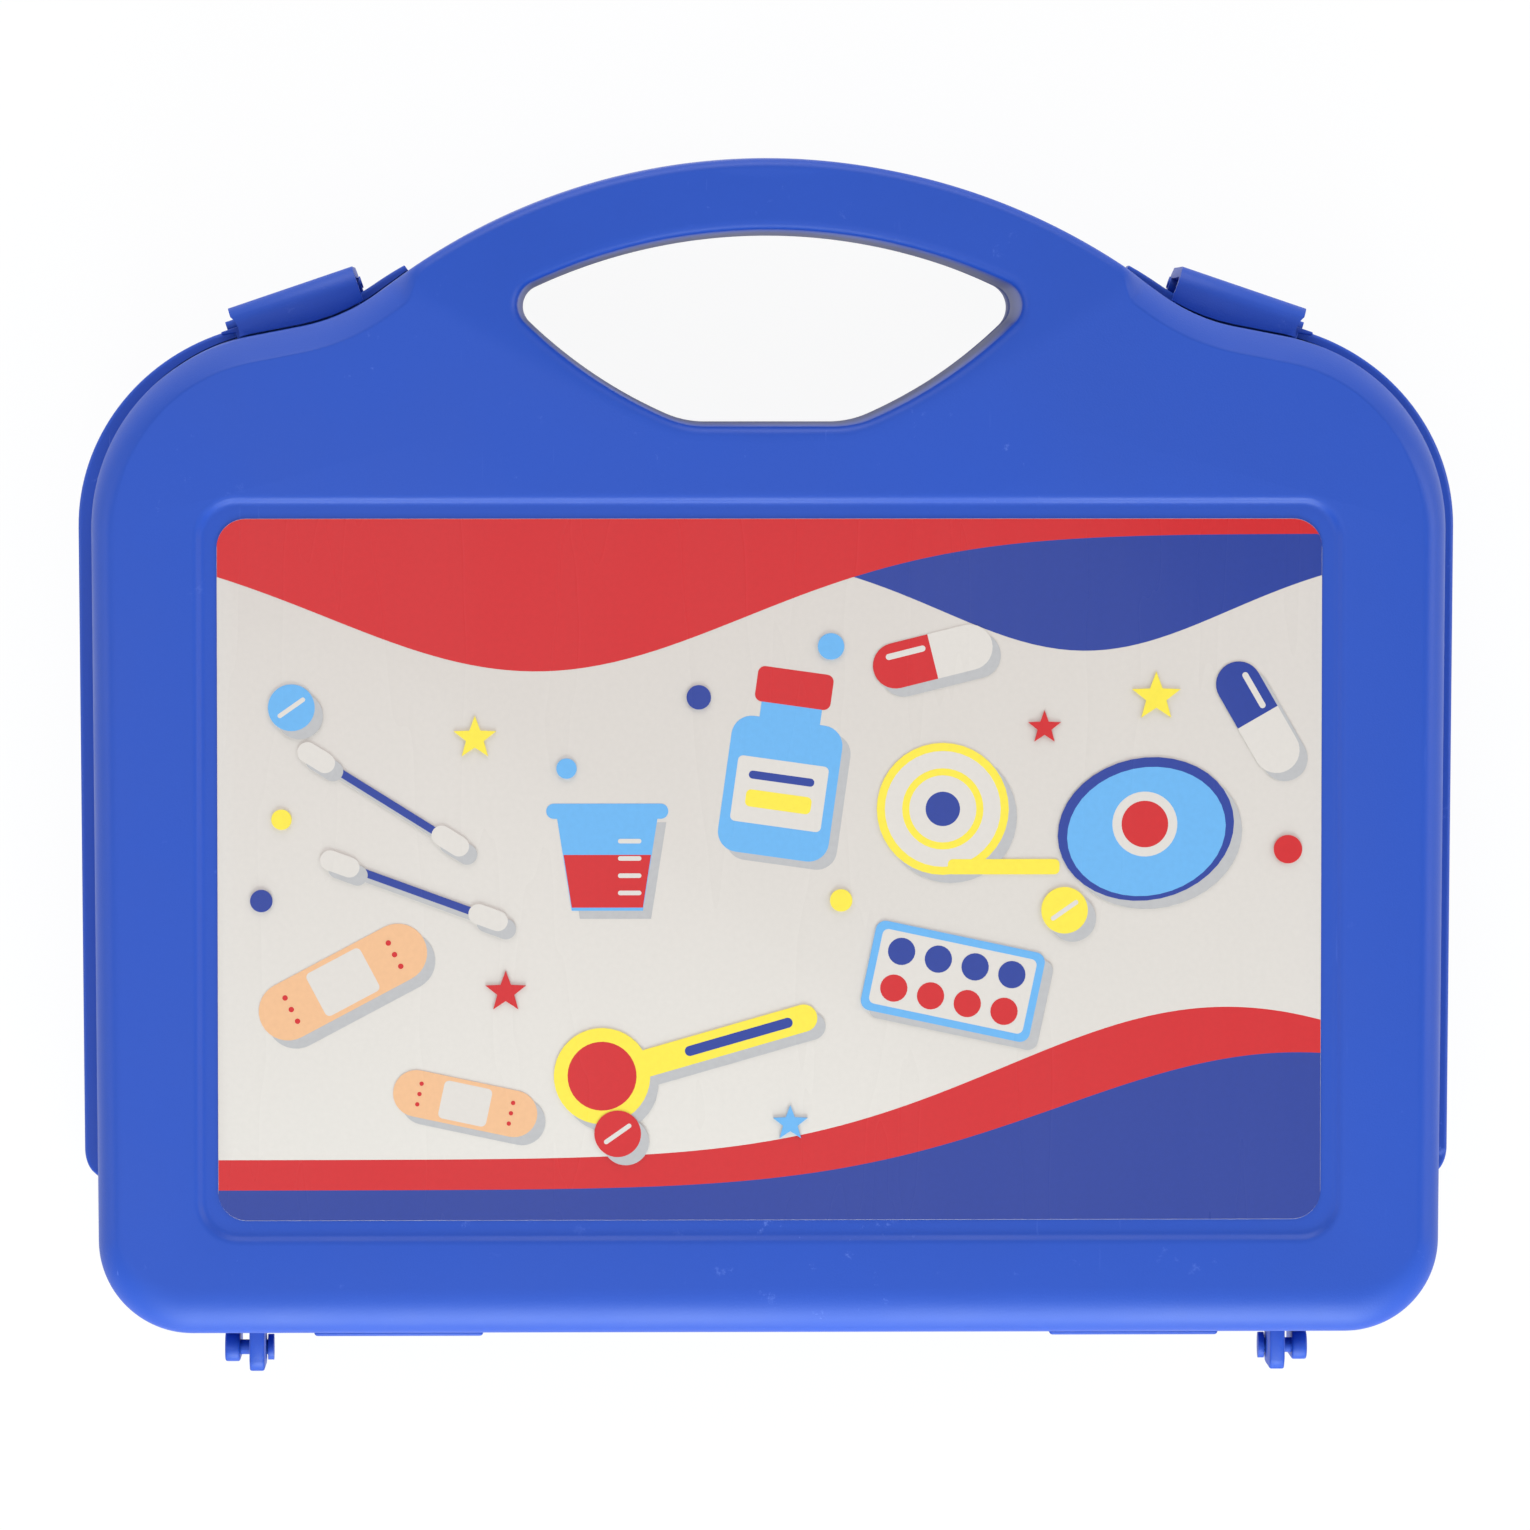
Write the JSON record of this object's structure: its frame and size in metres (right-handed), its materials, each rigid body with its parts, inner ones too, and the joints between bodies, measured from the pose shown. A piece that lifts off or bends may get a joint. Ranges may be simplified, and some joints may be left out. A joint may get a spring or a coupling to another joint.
{
  "type": "toy carrying case",
  "caption": "Child's blue plastic toy doctor case with a hinged lid, built-in handle, snap latches and a printed label.",
  "frame": {"origin": "centre of the case's back face, on the surface it lies on", "axes": "+X to the right seen from the label side, +Y from the hinge towards the handle, +Z out of the label face"},
  "size_m": [0.275, 0.2428, 0.0742],
  "materials": {
    "case_blue": "fine moulded texture",
    "latch_blue": "satin",
    "label_print": "glossy print"
  },
  "bodies": {
    "rear": {"rear_shell": "case_blue", "hinge_pin_left": "case_blue", "hinge_pin_right": "case_blue", "latch_pin_left": "latch_blue", "latch_pin_right": "latch_blue"},
    "lid": {"front_shell": "case_blue", "label": "label_print"},
    "latch_l": {"latch_left": "latch_blue"},
    "latch_r": {"latch_right": "latch_blue"}
  },
  "joints": [
    {"name": "lid_hinge", "type": "hinge", "parent": "rear", "child": "lid", "pos_m": [0, -0.11721, 0.0371], "axis": [1, 0, 0], "range_deg": [0, 180]},
    {"name": "latch_left_hinge", "type": "hinge", "parent": "rear", "child": "latch_l", "pos_m": [-0.09394, 0.09249, 0.0231], "axis": [-0.9467, -0.3222, 0], "range_deg": [0, 110]},
    {"name": "latch_right_hinge", "type": "hinge", "parent": "rear", "child": "latch_r", "pos_m": [0.09394, 0.09249, 0.0231], "axis": [-0.9467, 0.3222, 0], "range_deg": [0, 110]}
  ]
}
